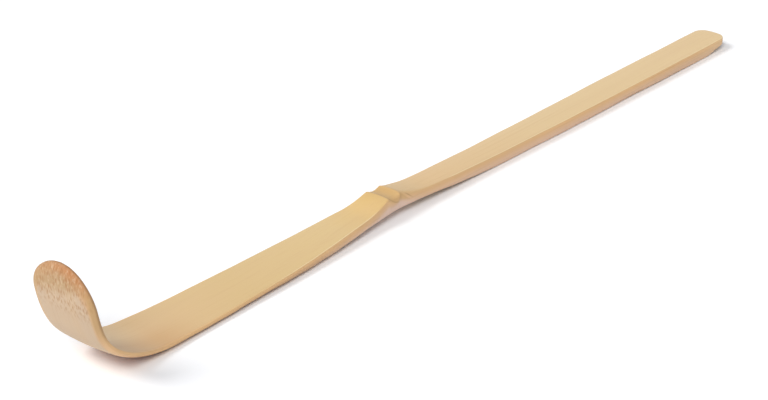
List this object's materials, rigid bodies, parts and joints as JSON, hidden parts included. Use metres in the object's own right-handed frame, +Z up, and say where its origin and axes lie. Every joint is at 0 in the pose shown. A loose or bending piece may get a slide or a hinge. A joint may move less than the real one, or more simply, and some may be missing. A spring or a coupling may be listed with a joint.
{
  "type": "bamboo tea scoop",
  "caption": "Slim scoop for powdered tea, carved from a strip of bamboo, with a heat-bent rounded bowl, a ridged node near the middle and a flat, blunt handle.",
  "frame": {"origin": "centre of the scoop's bounding box, on the table it lies on", "axes": "+X along the scoop, from the bowl towards the handle's end; +Z up from the table, skin side up; +Y across the scoop"},
  "size_m": [0.1798, 0.0132, 0.0201],
  "materials": {
    "bamboo": "satin"
  },
  "bodies": {
    "root": {"scoop": "bamboo"}
  },
  "joints": []
}
